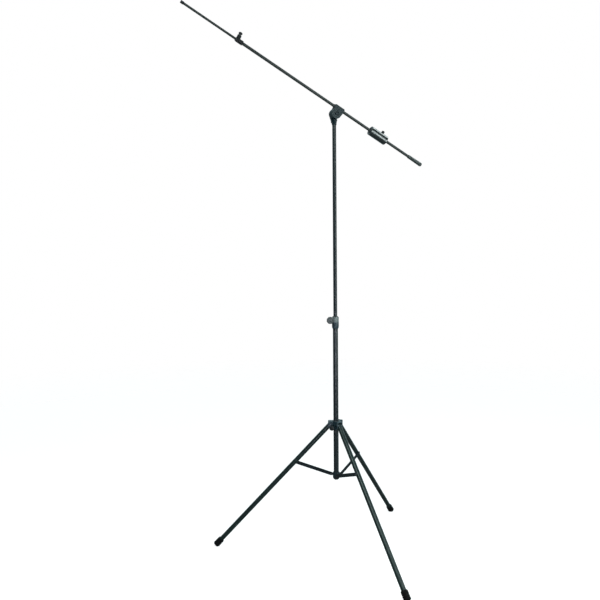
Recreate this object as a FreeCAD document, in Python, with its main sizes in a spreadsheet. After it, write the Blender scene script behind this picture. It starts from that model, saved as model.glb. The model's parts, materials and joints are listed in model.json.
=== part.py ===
import FreeCAD, Part
import math
import os

import Sketcher

# A boom microphone stand: a braced folding tripod, a two-stage column, a swivel head
# and a telescopic boom with a sliding counterweight. All lengths are millimetres.
# The row frame has +Z up and its origin on the floor under the column's axis.

Vector = FreeCAD.Vector
Placement = FreeCAD.Placement
Rotation = FreeCAD.Rotation

SIZES = {
    # tripod
    "foot_reach": 700.0,
    "foot_end_height": 6.0,
    "leg_pivot_reach": 35.0,
    "leg_pivot_height": 716.0,
    "leg_radius": 13.25,
    "leg_wall": 1.2,
    "leg_tube_start": 14.0,
    "leg_joint_along": 300.2,
    "foot_radius": 19.2,
    "foot_sleeve": 48.0,
    # column
    "lower_radius": 14.5,
    "lower_wall": 1.5,
    "lower_bottom": 416.0,
    "lower_top": 1290.0,
    "upper_radius": 11.0,
    "upper_wall": 1.2,
    "upper_bottom": 1190.0,
    "collar_radius": 19.5,
    "collar_half_height": 15.0,
    "brace_pin_reach": 29.0,
    "brace_pin_height": 428.0,
    "lug_start": 6.5,
    "lug_width": 6.75,
    "lug_radius": 6.5,
    # braces
    "brace_side": 13.35,
    "brace_plate": 3.0,
    "brace_half_depth": 10.0,
    "brace_pin_radius": 3.0,
    # leg hub
    "hub_radius": 21.0,
    "hub_bore": 17.0,
    "hub_top": 22.0,
    "hub_bottom": 24.0,
    "fork_half_gap": 13.75,
    "fork_half_width": 17.75,
    "fork_roof": 5.0,
    "leg_pin_radius": 4.0,
    "hub_screw_drop": 12.0,
    # clamp screws
    "screw_radius": 4.0,
    "running_gap": 0.05,
    # height clutch
    "clutch_bottom": 1264.0,
    "clutch_length": 66.0,
    "clutch_screw_reach": 28.0,
    "clutch_screw_rise": 48.0,
    "ear_half_width": 11.0,
    "clutch_knob_radius": 20.5,
    # swivel
    "pivot_height": 2458.7,
    "disc_radius": 26.0,
    "disc_thickness": 13.0,
    "washer_half": 1.0,
    "head_front": 29.0,
    "head_radius": 29.5,
    "head_rear": 37.0,
    "head_tip": 25.0,
    "head_top": 45.0,
    "boom_offset": 34.0,
    "boom_side": 15.0,
    "liner_wall": 1.2,
    "swivel_knob_radius": 15.0,
    # boom
    "boom_radius": 8.0,
    "boom_wall": 1.2,
    "boom_rear": 622.0,
    "boom_front": 636.0,
    "extension_radius": 6.0,
    "extension_wall": 1.0,
    "extension_inner": 20.0,
    "extension_end": 972.0,
    "boom_clutch_rear": 626.0,
    "boom_clutch_length": 42.5,
    "boom_clutch_radius": 12.0,
    "boom_screw_at": 657.0,
    "stud_radius": 7.9375,
    "stud_tip": 989.0,
    "grip_length": 104.0,
    "grip_radius": 11.5,
    # counterweight
    "weight_radius": 26.0,
    "weight_length": 116.0,
    "weight_rear": 350.0,
    "weight_bore": 10.05,
    "weight_screw_at": 314.0,
}

LEG_AZIMUTHS = {"left": 180.0, "front": 300.0, "rear": 60.0}
HUB_SCREW_AZIMUTH = 240.0
BOOM_AZIMUTH = 210.0
BOOM_ELEVATION = 26.4

leg_run = SIZES["foot_reach"] - SIZES["leg_pivot_reach"]
leg_drop = SIZES["leg_pivot_height"] - SIZES["foot_end_height"]
LEG_ANGLE = math.degrees(math.atan2(leg_run, leg_drop))
SIZES["leg_length"] = round(math.hypot(leg_run, leg_drop), 4)

joint_share = SIZES["leg_joint_along"] / SIZES["leg_length"]
brace_run = SIZES["leg_pivot_reach"] + joint_share * leg_run - SIZES["brace_pin_reach"]
brace_rise = SIZES["leg_pivot_height"] - joint_share * leg_drop - SIZES["brace_pin_height"]
BRACE_ANGLE = math.degrees(math.atan2(brace_rise, brace_run))
SIZES["brace_length"] = round(math.hypot(brace_run, brace_rise), 4)

doc = FreeCAD.newDocument("boom_microphone_stand")
sheet = doc.addObject("Spreadsheet::Sheet", "sizes")
for row, (alias, size) in enumerate(SIZES.items(), start=1):
    sheet.set(f"A{row}", alias)
    sheet.set(f"B{row}", str(size))
    sheet.setAlias(f"B{row}", alias)
doc.recompute()

sub_parts = []


# ---------------------------------------------------------------- sizes as text
# A size is written as sheet names and numbers joined by + and -, such as
# "leg_radius - leg_wall"; a name may carry a factor, as in "nut_flats*0.5".


def split_factor(token):
    name, star, factor = token.partition("*")
    return name, float(factor) if star else 1.0


def number(size):
    """The value of a size in millimetres."""
    total, sign = 0.0, 1.0
    for token in str(size).split():
        if token in ("+", "-"):
            sign = 1.0 if token == "+" else -1.0
            continue
        name, factor = split_factor(token)
        value = SIZES[name] if name in SIZES else float(name)
        total += sign * value * factor
    return total


def formula(size):
    """The same size as an expression on the spreadsheet's cells."""
    tokens = str(size).split()
    linked = [f"sizes.{t}" if split_factor(t)[0] in SIZES else t for t in tokens]
    return " ".join(linked)


def bind(feature, name, size):
    feature.setExpression(name, f"({formula(size)}) * 1 mm")


# ---------------------------------------------------------------- sketches and features


def plane_of(body, role):
    return next(f for f in body.Origin.OriginFeatures if f.Role == role)


def fix_coordinate(sketch, element, point, size, kind, axis):
    """Ties one coordinate of a sketch point to a size, measured from the sketch's origin."""
    value = number(size)
    if abs(value) < 1e-9:
        sketch.addConstraint(Sketcher.Constraint("PointOnObject", element, point, axis))
        return
    if value > 0:
        constraint = Sketcher.Constraint(kind, -1, 1, element, point, value)
        text = formula(size)
    else:
        constraint = Sketcher.Constraint(kind, element, point, -1, 1, -value)
        text = f"-({formula(size)})"
    index = sketch.addConstraint(constraint)
    sketch.setExpression(f"Constraints[{index}]", f"({text}) * 1 mm")


def fix_point(sketch, element, point, across, up):
    if abs(number(across)) < 1e-9 and abs(number(up)) < 1e-9:
        sketch.addConstraint(Sketcher.Constraint("Coincident", element, point, -1, 1))
        return
    fix_coordinate(sketch, element, point, across, "DistanceX", -2)
    fix_coordinate(sketch, element, point, up, "DistanceY", -1)


def new_sketch(body, role, offset="0"):
    sketch = body.newObject("Sketcher::SketchObject", f"{body.Name}_sketch")
    sketch.AttachmentSupport = [(plane_of(body, role), "")]
    sketch.MapMode = "FlatFace"
    if number(offset):
        sketch.AttachmentOffset = Placement(Vector(0, 0, number(offset)), Rotation())
        bind(sketch, "AttachmentOffset.Base.z", offset)
    return sketch


def draw_outline(sketch, corners):
    """A closed run of straight lines through the corners."""
    points = [Vector(number(a), number(b), 0) for a, b in corners]
    first = sketch.GeometryCount
    count = len(points)
    for i, point in enumerate(points):
        sketch.addGeometry(Part.LineSegment(point, points[(i + 1) % count]), False)
    for i in range(count):
        following = first + (i + 1) % count
        sketch.addConstraint(Sketcher.Constraint("Coincident", first + i, 2, following, 1))
    for i, (across, up) in enumerate(corners):
        fix_point(sketch, first + i, 1, across, up)


def draw_circle(sketch, across, up, radius):
    centre = Vector(number(across), number(up), 0)
    circle = Part.Circle(centre, Vector(0, 0, 1), number(radius))
    element = sketch.addGeometry(circle, False)
    index = sketch.addConstraint(Sketcher.Constraint("Radius", element, number(radius)))
    bind(sketch, f"Constraints[{index}]", radius)
    fix_point(sketch, element, 3, across, up)


def new_body(label):
    body = doc.addObject("PartDesign::Body", label)
    body.Label = label
    return body


def revolve(body, corners):
    """A solid turned about the body's Z axis from corners given as (radius, height)."""
    sketch = new_sketch(body, "XZ_Plane")
    draw_outline(sketch, corners)
    turned = body.newObject("PartDesign::Revolution", f"{body.Name}_revolution")
    turned.Profile = (sketch, [""])
    turned.ReferenceAxis = (sketch, ["V_Axis"])
    turned.Angle = 360
    return turned


def pad(body, sketch, length, symmetric=False):
    feature = body.newObject("PartDesign::Pad", f"{body.Name}_extrusion")
    feature.Profile = (sketch, [""])
    feature.SideType = "Symmetric" if symmetric else "One side"
    bind(feature, "Length", length)
    return feature


def pocket(body, sketch, length):
    """Removes material evenly on both sides of the sketch's plane."""
    feature = body.newObject("PartDesign::Pocket", f"{body.Name}_pocket")
    feature.Profile = (sketch, [""])
    feature.SideType = "Symmetric"
    bind(feature, "Length", length)
    return feature


def pad_outline(body, role, corners, length, offset="0", symmetric=False):
    sketch = new_sketch(body, role, offset)
    draw_outline(sketch, corners)
    return pad(body, sketch, length, symmetric)


def pad_circle(body, role, centre, radius, length, offset="0", symmetric=False):
    sketch = new_sketch(body, role, offset)
    draw_circle(sketch, *centre, radius)
    return pad(body, sketch, length, symmetric)


def cut_outline(body, role, corners, length, offset="0"):
    sketch = new_sketch(body, role, offset)
    draw_outline(sketch, corners)
    return pocket(body, sketch, length)


def cut_circle(body, role, centre, radius, length, offset="0"):
    sketch = new_sketch(body, role, offset)
    draw_circle(sketch, *centre, radius)
    return pocket(body, sketch, length)


def repeat_round(body, features, count):
    """Repeats features evenly about the body's Z axis."""
    pattern = body.newObject("PartDesign::PolarPattern", f"{body.Name}_pattern")
    pattern.Originals = features
    pattern.Axis = (plane_of(body, "Z_Axis"), [""])
    pattern.Angle = 360
    pattern.Occurrences = count
    body.Tip = pattern
    return pattern


def round_edges(body, radius, wanted):
    """Rounds the edges of the body's tip for which wanted(edge) is true."""
    doc.recompute()
    base = body.Tip
    names = [f"Edge{i}" for i, edge in enumerate(base.Shape.Edges, start=1) if wanted(edge)]
    fillet = body.newObject("PartDesign::Fillet", f"{body.Name}_fillet")
    fillet.Base = (base, names)
    bind(fillet, "Radius", radius)
    return fillet


def straight_along(edge, direction):
    if not isinstance(edge.Curve, Part.Line):
        return False
    return abs(abs(edge.Curve.Direction.dot(direction)) - 1.0) < 1e-6


def keep(shape_object, frame=None):
    """Places a finished sub-part and puts it on the list to export."""
    if frame is not None:
        shape_object.Placement = frame
    sub_parts.append(shape_object)
    return shape_object


def turned_part(label, corners, frame):
    body = new_body(label)
    revolve(body, corners)
    return keep(body, frame)


def tube_part(label, outer, inner, start, end, frame):
    corners = [(inner, start), (outer, start), (outer, end), (inner, end)]
    return turned_part(label, corners, frame)


def group_part(label, members):
    """One sub-part holding several identical separate solids."""
    group = doc.addObject("Part::Compound", label)
    group.Label = label
    group.Links = members
    return keep(group)


def loose_turned(name, corners, frame):
    """A turned solid that is a member of a group, not a sub-part of its own."""
    body = new_body(name)
    revolve(body, corners)
    body.Placement = frame
    return body


# ---------------------------------------------------------------- frames


def shift(across=0.0, along=0.0, up=0.0):
    return Placement(Vector(across, along, up), Rotation())


def turn(axis, degrees):
    return Placement(Vector(), Rotation(axis, degrees))


X_AXIS, Y_AXIS, Z_AXIS = Vector(1, 0, 0), Vector(0, 1, 0), Vector(0, 0, 1)
Z_TO_X = turn(Y_AXIS, 90)
Z_TO_MINUS_Y = turn(X_AXIS, 90)


def spoke(azimuth):
    """+X points away from the column at this azimuth."""
    return turn(Z_AXIS, azimuth)


def leg_frame(azimuth):
    """The origin is the leg's top pivot and +Z runs down the leg."""
    pivot = shift(number("leg_pivot_reach"), 0, number("leg_pivot_height"))
    return spoke(azimuth) * pivot * turn(Y_AXIS, 180 - LEG_ANGLE)


def brace_frame(azimuth):
    """The origin is the brace's inner pin, +X runs up the brace and +Z faces the column."""
    pin = shift(number("brace_pin_reach"), 0, number("brace_pin_height"))
    return spoke(azimuth) * pin * turn(Y_AXIS, -BRACE_ANGLE)


BASE = shift(up=number("pivot_height")) * turn(Z_AXIS, BOOM_AZIMUTH)
TILT = BASE * turn(Y_AXIS, -BOOM_ELEVATION)
BOOM = TILT * shift(0, number("boom_side"), number("boom_offset")) * Z_TO_X

# ---------------------------------------------------------------- shared hardware

SHANK_HOLE = "screw_radius + running_gap"


def fluted_knob(label, profile, radius, flutes, flute_radius, reach, frame):
    """A round knob turned from its profile, with finger flutes cut down its rim."""
    body = new_body(label)
    revolve(body, profile)
    centre = (f"{radius} + {reach}", "0")
    flute = cut_circle(body, "XY_Plane", centre, flute_radius, "200")
    repeat_round(body, [flute], flutes)
    return keep(body, frame)


def knob_profile(bore, blind, neck, neck_start, head, head_start, head_end):
    """Corners of a knob: a neck, a domed head and a blind bore for its screw."""
    return [
        (bore, neck_start),
        (neck, neck_start),
        (neck, head_start),
        (f"{head} - 2", head_start),
        (head, f"{head_start} + 2"),
        (head, f"{head_end} - 4"),
        (f"{head} - 1.5", f"{head_end} - 1.5"),
        (f"{head} - 4", head_end),
        ("0", head_end),
        ("0", blind),
        (bore, blind),
    ]


def cross_pin(name, radius, head, grip, head_thickness, frame):
    """A pin along the frame's Y axis with a flat head at each end; grip is half its clear length."""
    half = f"{grip} + {head_thickness}"
    profile = [
        ("0", "0"),
        (f"{head} - 0.6", "0"),
        (head, "0.6"),
        (head, head_thickness),
        (radius, head_thickness),
        (radius, f"{half} + {grip}"),
        (head, f"{half} + {grip}"),
        (head, f"{half} + {half} - 0.6"),
        (f"{head} - 0.6", f"{half} + {half}"),
        ("0", f"{half} + {half}"),
    ]
    return loose_turned(name, profile, frame * Z_TO_MINUS_Y * shift(up=-number(half)))


# ---------------------------------------------------------------- column


def build_lower_tube():
    inner = "lower_radius - lower_wall"
    tube_part("lower_tube", "lower_radius", inner, "lower_bottom", "lower_top", Placement())


def build_bottom_collar():
    """The fixed collar at the column's foot, with a lug beside each leg's plane for its brace."""
    body = new_body("bottom_collar")
    half = "collar_half_height"
    revolve(
        body,
        [
            ("lower_radius", f"- {half}"),
            ("collar_radius - 1.5", f"- {half}"),
            ("collar_radius", f"- {half} + 1.5"),
            ("collar_radius", f"{half} - 2"),
            ("collar_radius - 2", half),
            ("lower_radius", half),
        ],
    )
    root = [
        ("lower_radius + 2", "- lug_radius"),
        ("brace_pin_reach", "- lug_radius"),
        ("brace_pin_reach", "lug_radius"),
        ("lower_radius + 2", "lug_radius"),
    ]
    arm = pad_outline(body, "XZ_Plane", root, "lug_width", offset="lug_start")
    eye_centre = ("brace_pin_reach", "0")
    eye = pad_circle(body, "XZ_Plane", eye_centre, "lug_radius", "lug_width", offset="lug_start")
    hole = cut_circle(body, "XZ_Plane", eye_centre, "brace_pin_radius", "50")
    repeat_round(body, [arm, eye, hole], 3)
    keep(body, spoke(LEG_AZIMUTHS["left"]) * shift(up=number("brace_pin_height")))


def build_column_end_plug():
    """The domed plug that closes the lower tube under the bottom collar."""
    profile = [
        ("0", "0"),
        ("6", "0"),
        ("11", "1.5"),
        ("15", "4.5"),
        ("collar_radius - 1.5", "9"),
        ("collar_radius - 1", "14"),
        ("lower_radius - lower_wall", "14"),
        ("lower_radius - lower_wall", "34"),
        ("lower_radius - lower_wall - 2", "36"),
        ("0", "36"),
    ]
    bottom = number("brace_pin_height - collar_half_height - 14")
    turned_part("column_end_plug", profile, shift(up=bottom))


def build_brace_pins():
    """Each pin holds one lug and one brace strip between its heads."""
    pins = []
    grip = "brace_side*0.5 + brace_plate*0.5 - lug_start*0.5 + 0.05"
    middle = -number("brace_side*0.5 + brace_plate*0.5 + lug_start*0.5 + 0.05")
    for side, azimuth in LEG_AZIMUTHS.items():
        reach, height = number("brace_pin_reach"), number("brace_pin_height")
        frame = spoke(azimuth) * shift(reach, middle, height)
        pins.append(cross_pin(f"brace_pin_{side}", "brace_pin_radius", "5", grip, "2", frame))
    group_part("brace_pins", pins)


def build_height_clutch():
    """A split collar on the lower tube's top; its cross screw clamps the upper tube."""
    base = shift(up=number("clutch_bottom"))
    body = new_body("height_clutch_collar")
    revolve(
        body,
        [
            ("lower_radius", "0"),
            ("collar_radius - 3", "0"),
            ("collar_radius - 1", "6"),
            ("collar_radius", "12"),
            ("collar_radius", "clutch_length - 2.5"),
            ("collar_radius - 2.5", "clutch_length"),
            ("lower_radius", "clutch_length"),
        ],
    )
    ear = [
        ("- clutch_screw_reach - 10", "clutch_screw_rise - 13"),
        ("- lower_radius - 2.5", "clutch_screw_rise - 13"),
        ("- lower_radius - 2.5", "clutch_screw_rise + 13"),
        ("- clutch_screw_reach - 10", "clutch_screw_rise + 13"),
    ]
    pad_outline(body, "XZ_Plane", ear, "ear_half_width*2", symmetric=True)
    outer = -number("clutch_screw_reach + 10")
    round_edges(
        body,
        "9",
        lambda edge: straight_along(edge, Y_AXIS) and abs(edge.CenterOfMass.x - outer) < 0.1,
    )
    slot = [
        ("- clutch_screw_reach - 14", "clutch_screw_rise - 18"),
        ("- 5", "clutch_screw_rise - 18"),
        ("- 5", "clutch_length + 5"),
        ("- clutch_screw_reach - 14", "clutch_length + 5"),
    ]
    cut_outline(body, "XZ_Plane", slot, "2")
    screw_centre = ("- clutch_screw_reach", "clutch_screw_rise")
    cut_circle(body, "XZ_Plane", screw_centre, SHANK_HOLE, "60")
    keep(body, base)

    seat = "lower_top - clutch_bottom"
    bush = [
        ("upper_radius + running_gap", seat),
        ("lower_radius", seat),
        ("lower_radius", "clutch_length"),
        ("lower_radius + 2.5", "clutch_length"),
        ("lower_radius + 1.5", "clutch_length + 3"),
        ("upper_radius + running_gap", "clutch_length + 3"),
    ]
    turned_part("height_clutch_bush", bush, base)

    # The screw's own axis: local +Z points out of the knob.
    rise = number("clutch_bottom + clutch_screw_rise")
    axis = shift(-number("clutch_screw_reach"), 0, rise) * Z_TO_MINUS_Y
    hex_nut("height_clutch_nut", axis * shift(up=-number("ear_half_width + 6.5")))
    washer = [
        (SHANK_HOLE, "ear_half_width"),
        ("9", "ear_half_width"),
        ("9", "ear_half_width + 1.5"),
        (SHANK_HOLE, "ear_half_width + 1.5"),
    ]
    turned_part("height_clutch_washer", washer, axis)
    shank = [
        ("0", "0"),
        ("screw_radius - 1", "0"),
        ("screw_radius", "1"),
        ("screw_radius", "ear_half_width*2 + 29"),
        ("0", "ear_half_width*2 + 29"),
    ]
    start = -number("ear_half_width + 8")
    turned_part("height_clutch_screw", shank, axis * shift(up=start))
    knob_start = "ear_half_width + 1.5"
    profile = knob_profile(
        "screw_radius",
        "ear_half_width + 21",
        "9",
        knob_start,
        "clutch_knob_radius",
        "ear_half_width + 9.5",
        "ear_half_width + 25",
    )
    fluted_knob("height_clutch_knob", profile, "clutch_knob_radius", 8, "4.5", "3.4", axis)


def hex_nut(label, frame):
    """A plain hexagon nut, 13 mm across its flats, standing on the frame's XY plane."""
    flats = 13
    corner = flats / math.sqrt(3)
    body = new_body(label)
    corners = []
    for i in range(6):
        angle = math.radians(60 * i + 30)
        corners.append((f"{corner * math.cos(angle):.4f}", f"{corner * math.sin(angle):.4f}"))
    pad_outline(body, "XY_Plane", corners, "6.5")
    cut_circle(body, "XY_Plane", ("0", "0"), SHANK_HOLE, "40")
    keep(body, frame)


# ---------------------------------------------------------------- leg hub


def build_leg_hub():
    """The sliding hub: a sleeve with a fork for each leg and a boss for the lock screw."""
    body = new_body("leg_hub")
    revolve(
        body,
        [
            ("0", "- hub_bottom"),
            ("hub_radius", "- hub_bottom"),
            ("hub_radius", "hub_top"),
            ("0", "hub_top"),
        ],
    )
    cheek = [
        ("- leg_pivot_reach - 10", "- hub_bottom + 12"),
        ("- leg_pivot_reach + 2", "- hub_bottom"),
        ("- hub_radius + 5", "- hub_bottom"),
        ("- hub_radius + 5", "hub_top"),
        ("- leg_pivot_reach - 8", "hub_top"),
        ("- leg_pivot_reach - 10", "hub_top - 2"),
    ]
    fork = pad_outline(body, "XZ_Plane", cheek, "fork_half_width*2", symmetric=True)
    gap = [
        ("- leg_pivot_reach - 15", "- hub_bottom - 5"),
        ("- hub_radius - 0.5", "- hub_bottom - 5"),
        ("- hub_radius - 0.5", "hub_top - fork_roof"),
        ("- leg_pivot_reach - 15", "hub_top - fork_roof"),
    ]
    space = cut_outline(body, "XZ_Plane", gap, "fork_half_gap*2")
    pivot = ("- leg_pivot_reach", "0")
    hole = cut_circle(body, "XZ_Plane", pivot, "leg_pin_radius", "60")
    repeat_round(body, [fork, space, hole], 3)
    screw_centre = ("0", "- hub_screw_drop")
    pad_circle(body, "YZ_Plane", screw_centre, "9", "14", offset="hub_radius - 3")
    cut_circle(body, "XY_Plane", ("0", "0"), "hub_bore", "200")
    cut_circle(body, "YZ_Plane", screw_centre, SHANK_HOLE, "24", offset="hub_radius + 4")
    frame = spoke(HUB_SCREW_AZIMUTH) * shift(up=number("leg_pivot_height"))
    keep(body, frame)

    liner = new_body("hub_liner")
    revolve(
        liner,
        [
            ("lower_radius + running_gap", "- hub_bottom"),
            ("hub_bore", "- hub_bottom"),
            ("hub_bore", "hub_top"),
            ("hub_bore + 2", "hub_top"),
            ("hub_bore + 1", "hub_top + 2"),
            ("lower_radius + running_gap", "hub_top + 2"),
        ],
    )
    cut_circle(liner, "YZ_Plane", screw_centre, SHANK_HOLE, "8", offset="hub_bore - 1")
    keep(liner, frame)

    pins = []
    for side, azimuth in LEG_AZIMUTHS.items():
        pin_frame = spoke(azimuth) * shift(number("leg_pivot_reach"), 0, number("leg_pivot_height"))
        pins.append(
            cross_pin(f"leg_pin_{side}", "leg_pin_radius", "6.5", "fork_half_width", "2.5", pin_frame)
        )
    group_part("leg_pivot_pins", pins)

    axis = spoke(HUB_SCREW_AZIMUTH) * shift(up=number("leg_pivot_height - hub_screw_drop")) * Z_TO_X
    brake_pad("hub_lock_pad", "lower_radius", "5", axis)
    shank = [
        ("0", "lower_radius + 5"),
        ("screw_radius", "lower_radius + 5"),
        ("screw_radius", "hub_radius + 29"),
        ("0", "hub_radius + 29"),
    ]
    turned_part("hub_lock_screw", shank, axis)
    profile = knob_profile(
        "screw_radius",
        "hub_radius + 29",
        "8",
        "hub_radius + 13",
        "14",
        "hub_radius + 19",
        "hub_radius + 33",
    )
    fluted_knob("hub_lock_knob", profile, "14", 6, "4", "2", axis)


def brake_pad(label, tube_radius, thickness, frame):
    """The soft pad between a clamp screw's tip and the tube it holds."""
    start = f"{tube_radius} + 0.02"
    end = f"{tube_radius} + {thickness}"
    profile = [
        ("0", start),
        ("screw_radius - 0.3", start),
        ("screw_radius - 0.3", end),
        ("0", end),
    ]
    turned_part(label, profile, frame)


# ---------------------------------------------------------------- legs


def build_leg(side, azimuth):
    frame = leg_frame(azimuth)
    tube = new_body(f"leg_tube_{side}")
    revolve(
        tube,
        [
            ("leg_radius - leg_wall", "leg_tube_start"),
            ("leg_radius", "leg_tube_start"),
            ("leg_radius", "leg_length - 6"),
            ("leg_radius - leg_wall", "leg_length - 6"),
        ],
    )
    cut_circle(tube, "XZ_Plane", ("0", "leg_joint_along"), "4", "60")
    keep(tube, frame)

    head = new_body(f"leg_head_{side}")
    revolve(
        head,
        [
            ("0", "0"),
            ("leg_radius", "0"),
            ("leg_radius", "leg_tube_start"),
            ("leg_radius - leg_wall", "leg_tube_start"),
            ("leg_radius - leg_wall", "45"),
            ("leg_radius - leg_wall - 2", "47"),
            ("0", "47"),
        ],
    )
    pad_circle(head, "XZ_Plane", ("0", "0"), "leg_radius", "leg_radius*2", symmetric=True)
    cut_circle(head, "XZ_Plane", ("0", "0"), "leg_pin_radius + running_gap", "60")
    keep(head, frame)

    bush_half = number("leg_radius - 0.8")
    bush = [
        ("brace_pin_radius - 0.8", "0"),
        ("4", "0"),
        ("4", str(2 * bush_half)),
        ("brace_pin_radius - 0.8", str(2 * bush_half)),
    ]
    along = shift(up=number("leg_joint_along"))
    bush_frame = frame * along * Z_TO_MINUS_Y * shift(up=-bush_half)
    turned_part(f"leg_bush_{side}", bush, bush_frame)
    build_foot(side, frame)


def build_foot(side, frame):
    """A rubber boot with two grip grooves, its sole cut level with the floor."""
    boot = new_body(f"foot_boot_{side}")
    top = "leg_length - foot_sleeve"
    revolve(
        boot,
        [
            ("leg_radius", top),
            ("foot_radius - 2.5", top),
            ("foot_radius - 0.6", f"{top} + 3"),
            ("foot_radius - 0.4", f"{top} + 20"),
            ("foot_radius - 1.7", f"{top} + 21"),
            ("foot_radius - 1.7", f"{top} + 24"),
            ("foot_radius - 0.3", f"{top} + 25"),
            ("foot_radius - 0.2", f"{top} + 31"),
            ("foot_radius - 1.6", f"{top} + 32"),
            ("foot_radius - 1.6", f"{top} + 35"),
            ("foot_radius", f"{top} + 36"),
            ("foot_radius", "leg_length - 3"),
            ("foot_radius - 3", "leg_length"),
            ("0", "leg_length"),
            ("0", "leg_length - 6"),
            ("leg_radius", "leg_length - 6"),
        ],
    )
    boot.Placement = frame
    ground = doc.addObject("Part::Box", f"ground_{side}")
    for name in ("Length", "Width", "Height"):
        bind(ground, name, "foot_reach*4")
    half = 2 * number("foot_reach")
    ground.Placement = shift(-half, -half, -2 * half)
    foot = doc.addObject("Part::Cut", f"foot_{side}")
    foot.Label = f"foot_{side}"
    foot.Base = boot
    foot.Tool = ground
    keep(foot)


# ---------------------------------------------------------------- braces


def build_brace(side, azimuth):
    """A flat steel strip beside the leg, with round ends and a rivet at its outer one."""
    frame = brace_frame(azimuth)
    body = new_body(f"brace_{side}")
    half = "brace_half_depth"
    outline = [
        (f"- {half}", f"- {half}"),
        (f"brace_length + {half}", f"- {half}"),
        (f"brace_length + {half}", half),
        (f"- {half}", half),
    ]
    pad_outline(body, "XZ_Plane", outline, "brace_plate", offset="brace_side")
    round_edges(body, f"{half} - 0.2", lambda edge: straight_along(edge, Y_AXIS))
    cut_circle(body, "XZ_Plane", ("0", "0"), "brace_pin_radius + running_gap", "60")
    cut_circle(body, "XZ_Plane", ("brace_length", "0"), "brace_pin_radius", "60")
    keep(body, frame)

    rivet = [
        ("0", "0"),
        ("brace_pin_radius", "0"),
        ("brace_pin_radius", "brace_plate"),
        ("6", "brace_plate"),
        ("5.4", "brace_plate + 1.1"),
        ("3.6", "brace_plate + 1.9"),
        ("0", "brace_plate + 2.2"),
    ]
    place = shift(number("brace_length"), -number("brace_side")) * Z_TO_MINUS_Y
    turned_part(f"brace_rivet_{side}", rivet, frame * place)


# ---------------------------------------------------------------- upper column and swivel


def build_upper_column():
    inner = "upper_radius - upper_wall"
    top = "pivot_height - 34"
    tube_part("upper_tube", "upper_radius", inner, "upper_bottom", top, Placement())
    cap = [
        ("0", "0"),
        ("upper_radius + 1", "0"),
        ("upper_radius + 1", "4"),
        (inner, "4"),
        (inner, "24"),
        ("0", "24"),
    ]
    turned_part("post_end_cap", cap, shift(up=number("upper_bottom - 4")))
    guide_outer = "lower_radius - lower_wall - running_gap"
    guide_inner = "upper_radius + running_gap"
    guide_top = "upper_bottom + 40"
    tube_part("post_guide_bush", guide_outer, guide_inner, "upper_bottom", guide_top, Placement())


def build_swivel_base():
    """The post's socket with the fixed friction disc beside the column's axis."""
    body = new_body("swivel_base")
    revolve(
        body,
        [
            ("upper_radius", "- 59"),
            ("upper_radius + 1.5", "- 59"),
            ("upper_radius + 2.5", "- 57"),
            ("upper_radius + 2.5", "- 48"),
            ("upper_radius + 5.5", "- 36"),
            ("upper_radius + 7.5", "- 31"),
            ("0", "- 31"),
            ("0", "- 34"),
            ("upper_radius", "- 34"),
        ],
    )
    neck = [
        ("- upper_radius - 1", "- 48"),
        ("upper_radius + 1", "- 48"),
        ("upper_radius + 3", "- 36"),
        ("disc_radius - 3.4", "- 13"),
        ("- disc_radius + 3.4", "- 13"),
        ("- upper_radius - 3", "- 36"),
    ]
    pad_outline(body, "XZ_Plane", neck, "disc_thickness", offset="washer_half")
    centre = ("0", "0")
    pad_circle(body, "XZ_Plane", centre, "disc_radius", "disc_thickness", offset="washer_half")
    cut_circle(body, "XY_Plane", centre, "upper_radius", "28", offset="- 48")
    cut_circle(body, "XZ_Plane", centre, SHANK_HOLE, "80")
    keep(body, BASE)
    across = BASE * Z_TO_MINUS_Y
    ring = ("disc_radius - 3", SHANK_HOLE, "0", "washer_half*2")
    tube_part("swivel_friction_washer", *ring, across * shift(up=-number("washer_half")))


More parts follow.
